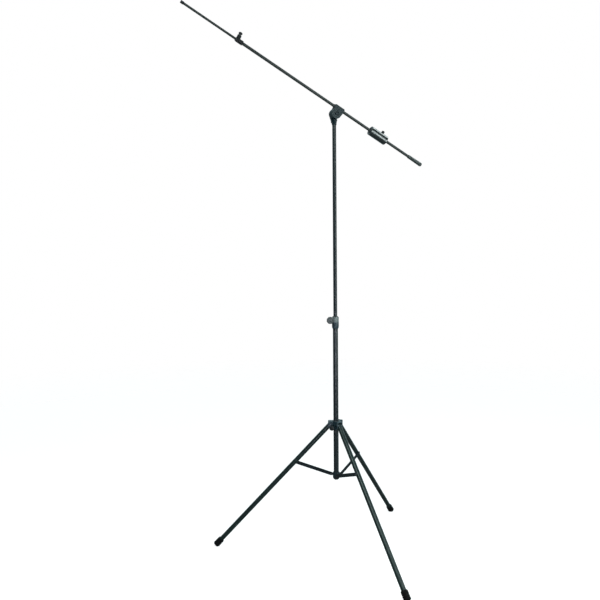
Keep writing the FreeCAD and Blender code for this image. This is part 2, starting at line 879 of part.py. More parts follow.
def build_swivel_head():
    """Two jaws joined over the boom's bore; the bolt closes them on the boom and the disc."""
    body = new_body("swivel_head")
    front = "- head_front"
    depth = "head_front - washer_half"
    plate = [
        ("- head_rear", "head_top"),
        ("- head_rear", "boom_offset - 10"),
        ("- head_radius + 1.2", "- 7.6"),
        ("head_tip", "- 7.6"),
        ("head_tip", "head_top"),
    ]
    pad_outline(body, "XZ_Plane", plate, depth, offset=front)
    round_edges(
        body,
        "5",
        lambda e: straight_along(e, Y_AXIS) and e.CenterOfMass.z > number("boom_offset - 11"),
    )
    pad_circle(body, "XZ_Plane", ("0", "0"), "head_radius", depth, offset=front)
    bore_centre = ("boom_side", "boom_offset")
    cut_circle(body, "YZ_Plane", bore_centre, "boom_radius + liner_wall", "200")
    slot = [
        ("boom_side - 1", "- head_radius - 5"),
        ("boom_side + 1", "- head_radius - 5"),
        ("boom_side + 1", "boom_offset"),
        ("boom_side - 1", "boom_offset"),
    ]
    cut_outline(body, "YZ_Plane", slot, "200")
    cut_circle(body, "XZ_Plane", ("0", "0"), SHANK_HOLE, "120")
    cut_circle(body, "XZ_Plane", ("0", "0"), "14", "6", offset=front)
    keep(body, TILT)

    # Local +Z points from the front face towards the knob.
    axis = TILT * Z_TO_MINUS_Y
    bolt_start = shift(up=-number("head_front + 2"))
    bolt = [
        ("0", "0"),
        ("6.5", "0"),
        ("8", "1.5"),
        ("8", "5"),
        ("screw_radius", "5"),
        ("screw_radius", "head_front + disc_thickness + 16"),
        ("0", "head_front + disc_thickness + 16"),
    ]
    turned_part("swivel_bolt", bolt, axis * bolt_start)
    back = "washer_half + disc_thickness"
    tube_part("swivel_washer", "10", SHANK_HOLE, back, f"{back} + 1.5", axis)
    knob = knob_profile(
        "6",
        f"{back} + 15",
        "9",
        f"{back} + 1.5",
        "swivel_knob_radius",
        f"{back} + 7",
        f"{back} + 19",
    )
    fluted_knob("swivel_knob", knob, "swivel_knob_radius", 6, "4.5", "2.6", axis)
    tube_part("swivel_knob_insert", "6", SHANK_HOLE, f"{back} + 1.5", f"{back} + 14.5", axis)

    sleeve = "boom_radius + liner_wall - 0.05"
    jaws = "head_rear + head_tip"
    liner = [
        ("boom_radius + running_gap", "0"),
        ("boom_radius + 4", "0"),
        ("boom_radius + 4", "2"),
        (sleeve, "2"),
        (sleeve, f"{jaws} + 2"),
        ("boom_radius + 4", f"{jaws} + 2"),
        ("boom_radius + 4", f"{jaws} + 4"),
        ("boom_radius + running_gap", f"{jaws} + 4"),
    ]
    start = shift(up=-number("head_rear + 2"))
    turned_part("boom_liner", liner, BOOM * start)


# ---------------------------------------------------------------- boom


def along_boom(size):
    """A frame on the boom's axis this far from the pivot's foot, +Z towards the tip."""
    return BOOM * shift(up=number(size))


def screw_frame(size):
    """A frame on the boom's axis with +Z out of the boom's upper side."""
    return along_boom(size) * turn(Y_AXIS, -90)


def build_boom():
    length = "boom_rear + boom_front"
    inner = "boom_radius - boom_wall"
    tube_part("boom_tube", "boom_radius", inner, "0", length, along_boom("- boom_rear"))

    clutch = new_body("boom_clutch")
    end = "boom_clutch_length"
    revolve(
        clutch,
        [
            ("0", "0"),
            ("boom_clutch_radius - 1.5", "0"),
            ("boom_clutch_radius", "1.5"),
            ("boom_clutch_radius", f"{end} - 8"),
            ("boom_clutch_radius - 2", end),
            ("0", end),
        ],
    )
    screw_at = "boom_screw_at - boom_clutch_rear"
    boss = ("0", screw_at)
    pad_circle(clutch, "YZ_Plane", boss, "11", "27", offset="- 13.5", symmetric=True)
    tube_seat = "boom_front*2 - boom_clutch_rear*2"
    cut_circle(clutch, "XY_Plane", ("0", "0"), "boom_radius", tube_seat)
    cut_circle(clutch, "XY_Plane", ("0", "0"), "extension_radius + 1.3", "200")
    cut_circle(clutch, "YZ_Plane", boss, SHANK_HOLE, "30", offset="- 20")
    keep(clutch, along_boom("boom_clutch_rear"))

    bush = new_body("boom_clutch_bush")
    tip = "boom_clutch_rear + boom_clutch_length - boom_front"
    revolve(
        bush,
        [
            ("extension_radius + running_gap", "0"),
            ("extension_radius + 1.3", "0"),
            ("extension_radius + 1.3", tip),
            ("extension_radius + 2.3", tip),
            ("extension_radius + 1.8", f"{tip} + 2"),
            ("extension_radius + running_gap", f"{tip} + 2"),
        ],
    )
    cut_circle(
        bush,
        "YZ_Plane",
        ("0", "boom_screw_at - boom_front"),
        SHANK_HOLE,
        "10",
        offset="- extension_radius - 2",
    )
    keep(bush, along_boom("boom_front"))

    grip = [
        ("0", "0"),
        ("6", "0"),
        ("9", "1.2"),
        ("grip_radius - 0.5", "3.5"),
        ("grip_radius", "7"),
        ("grip_radius - 1.3", "grip_length - 3"),
        ("grip_radius - 2.5", "grip_length"),
        ("boom_radius", "grip_length"),
        ("boom_radius", "7"),
        ("0", "7"),
    ]
    turned_part("rear_grip", grip, along_boom("- boom_rear - 7"))


def thumb_screw(label, tip, neck_start, head_start, head_end, head, frame):
    """A moulded thumb screw: its shank starts at the pad and its head is above the neck."""
    body = new_body(label)
    revolve(
        body,
        [
            ("0", tip),
            ("screw_radius", tip),
            ("screw_radius", neck_start),
            ("screw_radius + 2", neck_start),
            ("screw_radius + 2", head_start),
            (f"{head} - 1.5", head_start),
            (head, f"{head_start} + 1.5"),
            (head, f"{head_end} - 3"),
            (f"{head} - 3", head_end),
            ("0", head_end),
        ],
    )
    flute = cut_circle(body, "XY_Plane", (f"{head} + 1.6", "0"), "3", "200")
    repeat_round(body, [flute], 6)
    keep(body, frame)


def build_boom_clutch_screw():
    frame = screw_frame("boom_screw_at")
    brake_pad("boom_clutch_pad", "extension_radius", "5", frame)
    thumb_screw("boom_clutch_thumbscrew", "extension_radius + 5", "28", "35.5", "44.5", "10.5", frame)


def build_extension():
    inner = "extension_radius - extension_wall"
    length = "extension_inner + extension_end"
    start = along_boom("- extension_inner")
    tube_part("extension_tube", "extension_radius", inner, "0", length, start)
    guide_outer = "boom_radius - boom_wall - running_gap"
    guide_inner = "extension_radius + running_gap"
    tube_part("extension_guide_bush", guide_outer, guide_inner, "0", "40", start)
    stud = [
        ("0", "0"),
        (inner, "0"),
        (inner, "22"),
        ("stud_radius", "22"),
        ("stud_radius", "stud_tip - extension_end + 21"),
        ("stud_radius - 1", "stud_tip - extension_end + 22"),
        ("0", "stud_tip - extension_end + 22"),
    ]
    turned_part("mic_stud", stud, along_boom("extension_end - 22"))


def build_counterweight():
    """A turned steel weight riding on the boom through two flanged bushes."""
    body = new_body("counterweight")
    revolve(
        body,
        [
            ("weight_bore", "0"),
            ("weight_radius - 1.5", "0"),
            ("weight_radius", "1.5"),
            ("weight_radius", "weight_length - 1.5"),
            ("weight_radius - 1.5", "weight_length"),
            ("weight_bore", "weight_length"),
        ],
    )
    screw_at = "weight_rear - weight_screw_at"
    cut_circle(body, "YZ_Plane", ("0", screw_at), SHANK_HOLE, "30", offset="- weight_radius + 5")
    keep(body, along_boom("- weight_rear"))

    bush = [
        ("boom_radius + running_gap", "0"),
        ("weight_bore + 5", "0"),
        ("weight_bore + 6", "1"),
        ("weight_bore + 6", "3"),
        ("weight_bore - running_gap", "3"),
        ("weight_bore - running_gap", "25"),
        ("boom_radius + running_gap", "25"),
    ]
    rear = loose_turned("weight_bush_rear", bush, along_boom("- weight_rear - 3"))
    front_frame = along_boom("- weight_rear + weight_length + 3") * turn(X_AXIS, 180)
    front = loose_turned("weight_bush_front", bush, front_frame)
    group_part("counterweight_bushes", [rear, front])

    frame = screw_frame("- weight_screw_at")
    brake_pad("counterweight_pad", "boom_radius", "6", frame)
    thumb_screw("counterweight_thumbscrew", "boom_radius + 6", "27", "31", "42", "9", frame)


# ---------------------------------------------------------------- build, check and write

build_lower_tube()
build_bottom_collar()
build_column_end_plug()
build_brace_pins()
build_height_clutch()
build_leg_hub()
for leg_side, leg_azimuth in LEG_AZIMUTHS.items():
    build_leg(leg_side, leg_azimuth)
    build_brace(leg_side, leg_azimuth)
build_upper_column()
build_swivel_base()
build_swivel_head()
build_boom()
build_boom_clutch_screw()
build_extension()
build_counterweight()

doc.recompute()
for item in doc.Objects:
    if "Invalid" in item.State or "Error" in item.State:
        raise RuntimeError(f"{item.Label} failed: {item.State} {item.getStatusString()}")
for part in sub_parts:
    if part.Shape.isNull() or not part.Shape.isValid():
        raise RuntimeError(f"{part.Label} has no valid shape")

os.makedirs("parts", exist_ok=True)
for part in sub_parts:
    part.Shape.exportStep(os.path.join("parts", f"{part.Label}.step"))
print(f"wrote {len(sub_parts)} sub-parts")
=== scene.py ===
import json
import math

import bmesh
import bpy
from mathutils import Matrix, Vector


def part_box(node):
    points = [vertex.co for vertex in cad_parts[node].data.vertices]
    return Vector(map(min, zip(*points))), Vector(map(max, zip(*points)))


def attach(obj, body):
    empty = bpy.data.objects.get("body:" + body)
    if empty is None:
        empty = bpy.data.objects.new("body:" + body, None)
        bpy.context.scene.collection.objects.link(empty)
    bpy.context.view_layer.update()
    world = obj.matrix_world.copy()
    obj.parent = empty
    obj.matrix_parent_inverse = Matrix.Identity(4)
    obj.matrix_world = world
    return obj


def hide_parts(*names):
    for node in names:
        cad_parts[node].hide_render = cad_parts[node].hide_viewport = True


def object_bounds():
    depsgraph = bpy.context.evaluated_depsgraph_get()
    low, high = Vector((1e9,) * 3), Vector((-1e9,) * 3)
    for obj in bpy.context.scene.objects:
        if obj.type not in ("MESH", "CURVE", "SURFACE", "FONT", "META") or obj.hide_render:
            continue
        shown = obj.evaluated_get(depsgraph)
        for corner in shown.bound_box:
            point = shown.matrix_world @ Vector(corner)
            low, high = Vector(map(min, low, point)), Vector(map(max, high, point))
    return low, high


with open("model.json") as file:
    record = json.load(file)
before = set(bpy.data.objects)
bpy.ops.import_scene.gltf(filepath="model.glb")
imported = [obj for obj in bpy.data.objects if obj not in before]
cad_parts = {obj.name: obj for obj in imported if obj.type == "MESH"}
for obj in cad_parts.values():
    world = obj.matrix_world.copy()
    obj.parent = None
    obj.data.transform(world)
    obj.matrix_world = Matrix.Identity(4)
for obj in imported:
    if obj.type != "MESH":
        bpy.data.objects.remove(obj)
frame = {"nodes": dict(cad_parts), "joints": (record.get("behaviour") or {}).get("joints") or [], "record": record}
CAD_LOW, CAD_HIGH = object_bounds()

# A boom microphone stand's looks. Lengths in profiles are millimetres; the row frame is metres.
# Each piece takes its place from a joint's axis and its sizes from the CAD node it stands for.

MM = 0.001
INCH = 25.4
TINY = 1e-6
M8_RADIUS, M8_PITCH = 4.0, 1.25
THREAD_DEPTH = 0.55  # as a share of the pitch
SMOOTH_ANGLE = math.radians(38)  # edges sharper than this are bevelled or left sharp
FLAT_ANGLE = math.radians(0.4)  # faces closer than this are joined
JOINTS = {joint["name"]: joint for joint in frame["joints"]}
NODES = frame["nodes"]
BODY_OF = {node: body for body, nodes in frame["record"]["behaviour"]["bodies"].items() for node in nodes}
SIDES = ("left", "front", "rear")
UP = Vector((0, 0, 1))


# ---------------------------------------------------------------- places and sizes


def place_on(origin, along, sideways):
    """A frame at origin with +Z along a direction and +X as near to sideways as it can be."""
    z = Vector(along).normalized()
    x = (Vector(sideways) - z * z.dot(Vector(sideways))).normalized()
    matrix = Matrix((x, z.cross(x), z)).transposed().to_4x4()
    matrix.translation = origin
    return matrix


def centre_of(node):
    low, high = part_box(node)
    return (low + high) / 2


def joint_point(name):
    return Vector(JOINTS[name]["pos_m"])


def joint_place(name, sideways):
    """A frame on a hinge's axis."""
    return place_on(joint_point(name), JOINTS[name]["axis"], sideways)


def direction_to(node, joint):
    """The direction from a joint to the middle of a node, which is along a leg or a brace."""
    return (centre_of(node) - joint_point(joint)).normalized()


def measure(node, place):
    """Lowest and highest height and largest radius of a CAD node about a frame's Z axis."""
    inverse = place.inverted()
    points = [inverse @ vertex.co for vertex in NODES[node].data.vertices]
    heights = [point.z / MM for point in points]
    radius = max(math.hypot(point.x, point.y) for point in points) / MM
    return min(heights), max(heights), radius


# ---------------------------------------------------------------- meshes


def add_piece(name, mesh, stands_for, material):
    """Makes an object of a finished mesh, hides the CAD nodes it stands for and rides on their body."""
    mesh.set_sharp_from_angle(angle=SMOOTH_ANGLE)
    piece = bpy.data.objects.new(name, mesh)
    bpy.context.scene.collection.objects.link(piece)
    mesh.materials.append(material)
    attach(piece, BODY_OF[stands_for])
    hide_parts(stands_for)


def round_corner(before, corner, after, radius, steps=3, most=0.45):
    """A corner of an outline as a short curve that starts and ends the radius away from it,
    or this share of the way to the next corner where that is nearer."""
    into, out = before - corner, after - corner
    if into.length < TINY or out.length < TINY:
        return [corner]
    start = corner + into.normalized() * min(radius, into.length * most)
    end = corner + out.normalized() * min(radius, out.length * most)
    points = []
    for step in range(steps + 1):
        share = step / steps
        left = start.lerp(corner, share)
        points.append(left.lerp(corner.lerp(end, share), share))
    return points


def rounded(corners, radius):
    """An open outline with its corners rounded. It keeps its two ends."""
    points = [Vector(corner) for corner in corners]
    result = [points[0]]
    for before, corner, after in zip(points, points[1:], points[2:]):
        result += round_corner(before, corner, after, radius)
    return result + [points[-1]]


def filled_in(outline, longest):
    """The outline with points added so that no stretch is longer than this."""
    points = [Vector(outline[0])]
    for corner in outline[1:]:
        start = points[-1]
        end = Vector(corner)
        steps = max(1, math.ceil((end - start).length / longest))
        points += [start.lerp(end, step / steps) for step in range(1, steps + 1)]
    return points


def lathe(outline, place, segments, shape, closed=False):
    """A solid turned from (radius, height) points, listed with the solid on their left.
    shape(angle, radius, height) gives a point's radius in place of the outline's own. A closed
    outline is a ring round the axis."""
    grid = bmesh.new()
    rings = []
    for radius, height in outline:
        if radius < TINY:
            rings.append([grid.verts.new(place @ Vector((0, 0, height * MM)))])
            continue
        ring = []
        for step in range(segments):
            angle = math.tau * step / segments
            reach = shape(angle, radius, height)
            point = Vector((math.cos(angle) * reach, math.sin(angle) * reach, height)) * MM
            ring.append(grid.verts.new(place @ point))
        rings.append(ring)
    pairs = list(zip(rings, rings[1:]))
    if closed:
        pairs.append((rings[-1], rings[0]))
    for below, above in pairs:
        join_rings(grid, below, above, segments)
    bmesh.ops.recalc_face_normals(grid, faces=grid.faces)
    return grid


def join_rings(grid, below, above, segments):
    """Faces between two rings. A ring of one point closes the solid on its axis."""
    if len(below) == 1 and len(above) == 1:
        return
    for step in range(segments):
        following = (step + 1) % segments
        corners = [below[step % len(below)], below[following % len(below)]]
        corners += [above[following % len(above)], above[step % len(above)]]
        grid.faces.new(list(dict.fromkeys(corners)))


def to_mesh(grid, name):
    """A smooth-shaded mesh of the grid, which is freed."""
    mesh = bpy.data.meshes.new(name)
    for face in grid.faces:
        face.smooth = True
    grid.to_mesh(mesh)
    grid.free()
    return mesh


def soft_min(a, b, softness):
    """The smaller of two lengths, with the change between them rounded."""
    share = max(0.0, min(1.0, 0.5 + 0.5 * (b - a) / softness))
    return b * (1 - share) + a * share - softness * share * (1 - share)


def flutes(count, rim, flute, reach, softness=0.8):
    """Round finger flutes cut down a knob's rim by circles centred outside it."""
    distance = rim + reach
    spacing = math.tau / count

    def shape(angle, radius, height):
        off = (angle + spacing / 2) % spacing - spacing / 2
        side = distance * math.sin(off)
        if abs(side) >= flute:
            return radius
        cut = distance * math.cos(off) - math.sqrt(flute**2 - side**2)
        return soft_min(radius, cut, softness) if cut < radius + softness else radius

    return shape


def hexagon(flats):
    """Keeps a radius inside a hexagon with this width across its flats."""

    def shape(angle, radius, height):
        off = (angle + math.pi / 6) % (math.pi / 3) - math.pi / 6
        return min(radius, flats / 2 / math.cos(off))

    return shape


def thread(crest, depth, pitch, start, end, steepness=1.25):
    """A single-start V thread between two heights, fading out over one pitch at each end.
    A steepness over 1 leaves its roots flat."""

    def shape(angle, radius, height):
        if radius < crest - depth or not start <= height <= end:
            return radius
        turns = height / pitch - angle / math.tau
        groove = 1 - abs(2 * (turns % 1.0) - 1)
        fade = min(1.0, (height - start) / pitch, (end - height) / pitch)
        return min(radius, crest - depth * fade * min(1.0, steepness * groove))

    return shape


# ---------------------------------------------------------------- materials


class Shader:
    """A short way to write a material's nodes."""

    # A Mix node has a socket of each name for each kind of data. These are the colour ones.
    MIX_SHARE, MIX_FIRST, MIX_SECOND, MIX_RESULT = 0, 6, 7, 2
    NOISE_ROUGHNESS = 0.55

    def __init__(self, name):
        self.material = bpy.data.materials.new(name)
        self.material.use_nodes = True
        self.tree = self.material.node_tree
        self.surface = self.tree.nodes["Principled BSDF"]
        self.coordinates = self.tree.nodes.new("ShaderNodeTexCoord").outputs["Object"]

    def put(self, socket, value):
        """Links an output to the socket, or sets the socket to a plain value."""
        if isinstance(value, bpy.types.NodeSocket):
            self.tree.links.new(value, socket)
        else:
            socket.default_value = value

    def node(self, kind, settings=None, **inputs):
        node = self.tree.nodes.new(f"ShaderNode{kind}")
        for key, value in (settings or {}).items():
            setattr(node, key, value)
        for key, value in inputs.items():
            self.put(node.inputs[key.replace("_", " ")], value)
        return node

    def turned(self, axis, stretch):
        """Coordinates turned so that Z runs along an axis, and drawn out along it."""
        turn = Vector(axis).rotation_difference(UP).to_euler()
        turned = self.node("Mapping", Vector=self.coordinates, Rotation=turn)
        scaled = self.node("Mapping", Vector=turned.outputs[0], Scale=(1, 1, 1 / stretch))
        return scaled.outputs[0]

    def noise(self, scale, detail=3.0, vector=None):
        inputs = {"Scale": scale, "Detail": detail, "Roughness": self.NOISE_ROUGHNESS}
        where = self.coordinates if vector is None else vector
        return self.node("TexNoise", Vector=where, **inputs).outputs["Fac"]

    def spread(self, value, low, high, to_low=0.0, to_high=1.0):
        """The value drawn out from one range to another, and held inside it."""
        inputs = {"From_Min": low, "From_Max": high, "To_Min": to_low, "To_Max": to_high}
        return self.node("MapRange", Value=value, **inputs).outputs[0]

    def maths(self, operation, first, second):
        node = self.node("Math", {"operation": operation})
        self.put(node.inputs[0], first)
        self.put(node.inputs[1], second)
        return node.outputs[0]

    def mix(self, share, first, second):
        node = self.node("Mix", {"data_type": "RGBA"})
        self.put(node.inputs[self.MIX_SHARE], share)
        self.put(node.inputs[self.MIX_FIRST], first)
        self.put(node.inputs[self.MIX_SECOND], second)
        return node.outputs[self.MIX_RESULT]

    def edges(self, radius, low=0.02, high=0.25):
        """1 on convex and concave edges sharper than the radius, 0 on flats."""
        bevelled = self.node("Bevel", {"samples": 4}, Radius=radius).outputs[0]
        true = self.node("NewGeometry").outputs["Normal"]
        dot = self.node("VectorMath", {"operation": "DOT_PRODUCT"})
        self.put(dot.inputs[0], bevelled)
        self.put(dot.inputs[1], true)
        return self.spread(dot.outputs["Value"], 1 - low, 1 - high)

    def bump(self, height, distance, strength, normal=None):
        node = self.node("Bump", Height=height, Distance=distance, Strength=strength)
        if normal is not None:
            self.put(node.inputs["Normal"], normal)
        return node.outputs[0]

    def finish(self, colour, roughness, normal, metallic=0.0, specular=0.5):
        self.put(self.surface.inputs["Base Color"], colour)
        self.put(self.surface.inputs["Roughness"], roughness)
        self.put(self.surface.inputs["Normal"], normal)
        self.surface.inputs["Metallic"].default_value = metallic
        self.surface.inputs["Specular IOR Level"].default_value = specular
        return self.material


def rgb(red, green, blue):
    return (red, green, blue, 1.0)


WHITE = rgb(1.0, 1.0, 1.0)


def powder_coat(name, axis, base, light, shine=0.45, gloss=0.27):
    """Satin black powder coat: orange-peel skin, faint marks along the tube and worn edges."""
    shader = Shader(name)
    line_colour, scuff_colour = rgb(0.022, 0.031, 0.034), rgb(0.045, 0.053, 0.055)
    dust_colour, bare_metal = rgb(0.018, 0.024, 0.026), rgb(0.16, 0.165, 0.17)
    cloud = shader.spread(shader.noise(9.0, 4.0), 0.35, 0.7)
    lines = shader.spread(shader.noise(420.0, 4.0, shader.turned(axis, 60.0)), 0.52, 0.78)
    scuffs = shader.spread(shader.noise(160.0, 5.0, shader.turned(axis, 7.0)), 0.64, 0.72)
    dust = shader.spread(shader.noise(55.0, 6.0), 0.5, 0.85, 0.0, 0.35)
    worn = shader.maths("MULTIPLY", shader.edges(0.0006), shader.spread(shader.noise(240.0), 0.42, 0.62))
    colour = shader.mix(cloud, base, light)
    colour = shader.mix(shader.maths("MULTIPLY", lines, 0.3), colour, line_colour)
    colour = shader.mix(shader.maths("MULTIPLY", scuffs, 0.35), colour, scuff_colour)
    colour = shader.mix(dust, colour, dust_colour)
    colour = shader.mix(worn, colour, bare_metal)
    rough = shader.spread(shader.noise(30.0, 5.0), 0.3, 0.7, gloss, gloss + 0.06)
    rough = shader.maths("ADD", rough, shader.maths("MULTIPLY", scuffs, 0.1))
    peel = shader.bump(shader.noise(900.0, 2.0), 0.00002, 0.2)
    normal = shader.bump(lines, 0.000005, 0.3, peel)
    return shader.finish(colour, rough, normal, specular=shine)


def cast_metal(name, base, light, worn_colour, gloss=0.36, shine=0.3):
    """Painted die-casting: a slightly lumpy skin, tiny pits, and thin paint on its edges."""
    shader = Shader(name)
    grime_colour = rgb(0.008, 0.011, 0.012)
    cloud = shader.spread(shader.noise(38.0, 5.0), 0.32, 0.7)
    pits = shader.spread(shader.noise(1500.0, 3.0), 0.66, 0.8)
    broken = shader.spread(shader.noise(320.0, 5.0), 0.4, 0.6)
    worn = shader.maths("MULTIPLY", shader.edges(0.0011, 0.015, 0.2), broken)
    grime = shader.spread(shader.noise(85.0, 6.0), 0.48, 0.8, 0.0, 0.2)
    colour = shader.mix(cloud, base, light)
    colour = shader.mix(grime, colour, grime_colour)
    colour = shader.mix(shader.maths("MULTIPLY", worn, 0.5), colour, worn_colour)
    rough = shader.spread(shader.noise(60.0, 5.0), 0.3, 0.7, gloss - 0.03, gloss + 0.04)
    rough = shader.maths("ADD", rough, shader.maths("MULTIPLY", pits, 0.08))
    lumps = shader.bump(shader.noise(420.0, 4.0), 0.00002, 0.25)
    normal = shader.bump(shader.maths("MULTIPLY", pits, -1.0), 0.00002, 0.3, lumps)
    return shader.finish(colour, rough, normal, specular=shine)


def moulded_plastic(name, base, light, rough_low=0.4, grain=1300.0):
    """Moulded plastic with a fine spark-eroded grain and polish where fingers rub it."""
    shader = Shader(name)
    dust_colour, rubbed_colour = rgb(0.04, 0.043, 0.045), rgb(0.06, 0.063, 0.066)
    cloud = shader.spread(shader.noise(60.0, 4.0), 0.3, 0.7)
    rubbed = shader.maths("MULTIPLY", shader.edges(0.0012), shader.spread(shader.noise(120.0), 0.35, 0.65))
    dust = shader.spread(shader.noise(260.0, 6.0), 0.58, 0.85, 0.0, 0.4)
    colour = shader.mix(cloud, base, light)
    colour = shader.mix(dust, colour, dust_colour)
    colour = shader.mix(shader.maths("MULTIPLY", rubbed, 0.5), colour, rubbed_colour)
    rough = shader.spread(shader.noise(90.0, 4.0), 0.3, 0.7, rough_low, rough_low + 0.14)
    rough = shader.maths("SUBTRACT", rough, shader.maths("MULTIPLY", rubbed, 0.15))
    normal = shader.bump(shader.noise(grain, 3.0), 0.00006, 0.6)
    return shader.finish(colour, rough, normal)


def rubber(name):
    """Matt black rubber with a dusty bloom and a fine pebbled skin."""
    shader = Shader(name)
    base, light = rgb(0.003, 0.0032, 0.0035), rgb(0.007, 0.0076, 0.008)
    speck_colour = rgb(0.016, 0.016, 0.016)
    bloom = shader.spread(shader.noise(70.0, 6.0), 0.42, 0.78)
    specks = shader.spread(shader.noise(700.0, 4.0), 0.62, 0.8, 0.0, 0.5)
    colour = shader.mix(bloom, base, light)
    colour = shader.mix(specks, colour, speck_colour)
    rough = shader.spread(shader.noise(110.0, 4.0), 0.3, 0.7, 0.62, 0.8)
    pebble = shader.node("TexVoronoi", Vector=shader.coordinates, Scale=1100.0).outputs["Distance"]
    skin = shader.bump(pebble, 0.00008, 0.5)
    normal = shader.bump(bloom, 0.0001, 0.3, skin)
    return shader.finish(colour, rough, normal, specular=0.12)


def bright_metal(name, base, stain, rough):
    """Bare or plated metal: a fine grain, dull patches and a darker stain in places."""
    shader = Shader(name)
    dull = tuple(0.8 * part for part in base[:3]) + (1.0,)
    patches = shader.spread(shader.noise(120.0, 5.0), 0.35, 0.7)
    stains = shader.spread(shader.noise(380.0, 6.0), 0.6, 0.75, 0.0, 0.7)
    colour = shader.mix(patches, base, dull)
    colour = shader.mix(stains, colour, stain)
    roughness = shader.spread(shader.noise(200.0, 4.0), 0.3, 0.7, rough - 0.06, rough + 0.12)
    normal = shader.bump(shader.noise(2600.0, 2.0), 0.00002, 0.6)
    return shader.finish(colour, roughness, normal, metallic=1.0)


def turned_steel(name, axis):
    """Painted turned steel: faint rings from the lathe under glossy black paint."""
    shader = Shader(name)
    base, light = rgb(0.003, 0.006, 0.007), rgb(0.006, 0.01, 0.011)
    bare_metal = rgb(0.2, 0.205, 0.21)
    rings = shader.noise(900.0, 2.0, shader.turned(axis, 0.02))
    cloud = shader.spread(shader.noise(26.0, 5.0), 0.32, 0.7)
    chips = shader.spread(shader.noise(210.0, 6.0), 0.5, 0.62)
    worn = shader.maths("MULTIPLY", shader.edges(0.0012, 0.015, 0.2), chips)
    colour = shader.mix(cloud, base, light)
    colour = shader.mix(worn, colour, bare_metal)
    rough = shader.spread(shader.noise(45.0, 5.0), 0.3, 0.7, 0.22, 0.26)
    peel = shader.bump(shader.noise(700.0, 2.0), 0.00001, 0.2)
    normal = shader.bump(rings, 0.000005, 0.15, peel)
    return shader.finish(colour, rough, normal, specular=0.9)


CASTING = cast_metal(
    "black_casting",
    base=rgb(0.007, 0.016, 0.02),
    light=rgb(0.014, 0.029, 0.035),
    worn_colour=rgb(0.1, 0.12, 0.13),
)
HUB_PAINT = cast_metal(
    "hub_casting",
    base=rgb(0.014, 0.032, 0.042),
    light=rgb(0.028, 0.055, 0.066),
    worn_colour=rgb(0.14, 0.17, 0.18),
)
SWIVEL_PAINT = cast_metal(
    "swivel_casting",
    base=rgb(0.003, 0.011, 0.014),
    light=rgb(0.007, 0.019, 0.023),
    worn_colour=rgb(0.09, 0.13, 0.14),
    gloss=0.3,
    shine=0.18,
)
BLACK_CASTING = cast_metal(
    "deep_black_casting",
    base=rgb(0.005, 0.006, 0.0065),
    light=rgb(0.01, 0.011, 0.012),
    worn_colour=rgb(0.09, 0.095, 0.1),
    gloss=0.42,
)


def collar_with_painted_highlight(name):
    """A die-cast collar in dark blue-black paint. Its upper half is coloured pale grey as a painted highlight,
    standing for light falling on its top.
    """
    shader = Shader(name)
    grime_colour, worn_colour = rgb(0.02, 0.027, 0.03), rgb(0.22, 0.24, 0.25)
    highlight_share, highlight_blend_half_width = 0.56, 0.006
    low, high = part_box("height_clutch_collar")
    highlight_start = low.z + (high.z - low.z) * highlight_share
    where = shader.node("SeparateXYZ", Vector=shader.coordinates).outputs["Z"]
    # Mask for the painted highlight: 1 on the collar's upper share, above a soft line, 0 below.
    painted_highlight_mask = shader.spread(where, highlight_start - highlight_blend_half_width, highlight_start + highlight_blend_half_width)
    cloud = shader.spread(shader.noise(38.0, 5.0), 0.32, 0.7)
    dark = shader.mix(cloud, rgb(0.012, 0.026, 0.036), rgb(0.022, 0.042, 0.055))
    # Pale grey painted highlight for the lit upper half. The collar's own paint is the dark blue-black above.
    painted_highlight_colour = shader.mix(cloud, rgb(0.13, 0.155, 0.15), rgb(0.18, 0.205, 0.2))
    colour = shader.mix(painted_highlight_mask, dark, painted_highlight_colour)
    grime = shader.spread(shader.noise(110.0, 6.0), 0.5, 0.8, 0.0, 0.4)
    colour = shader.mix(grime, colour, grime_colour)
    broken = shader.spread(shader.noise(320.0, 5.0), 0.4, 0.6)
    worn = shader.maths("MULTIPLY", shader.edges(0.0011, 0.015, 0.2), broken)
    colour = shader.mix(shader.maths("MULTIPLY", worn, 0.6), colour, worn_colour)
    rough = shader.spread(shader.noise(60.0, 5.0), 0.3, 0.7, 0.34, 0.46)
    normal = shader.bump(shader.noise(420.0, 4.0), 0.00004, 0.3)
    return shader.finish(colour, rough, normal)


KNOB = moulded_plastic("knob_plastic", rgb(0.01, 0.0105, 0.0115), rgb(0.02, 0.021, 0.023))
GREY_KNOB = moulded_plastic("grey_knob_plastic", rgb(0.05, 0.056, 0.058), rgb(0.085, 0.092, 0.094))
GRIP_VINYL = moulded_plastic(
    "grip_vinyl",
    rgb(0.02, 0.027, 0.026),
    rgb(0.035, 0.045, 0.043),
    rough_low=0.28,
    grain=700.0,
)
NYLON = moulded_plastic(
    "nylon",
    rgb(0.03, 0.031, 0.034),
    rgb(0.05, 0.052, 0.056),
    rough_low=0.5,
    grain=900.0,
)
RUBBER = rubber("black_rubber")
BLACK_ZINC = bright_metal(
    "black_zinc",
    base=rgb(0.09, 0.095, 0.105),
    stain=rgb(0.035, 0.034, 0.032),
    rough=0.34,
)
BURNISHED = bright_metal(
    "burnished_steel",
    base=rgb(0.03, 0.036, 0.04),
    stain=rgb(0.014, 0.014, 0.013),
    rough=0.42,
)
BRASS = bright_metal(
    "plain_brass",
    base=rgb(0.62, 0.46, 0.2),
    stain=rgb(0.3, 0.2, 0.08),
    rough=0.3,
)


# ---------------------------------------------------------------- CAD nodes that keep their shape


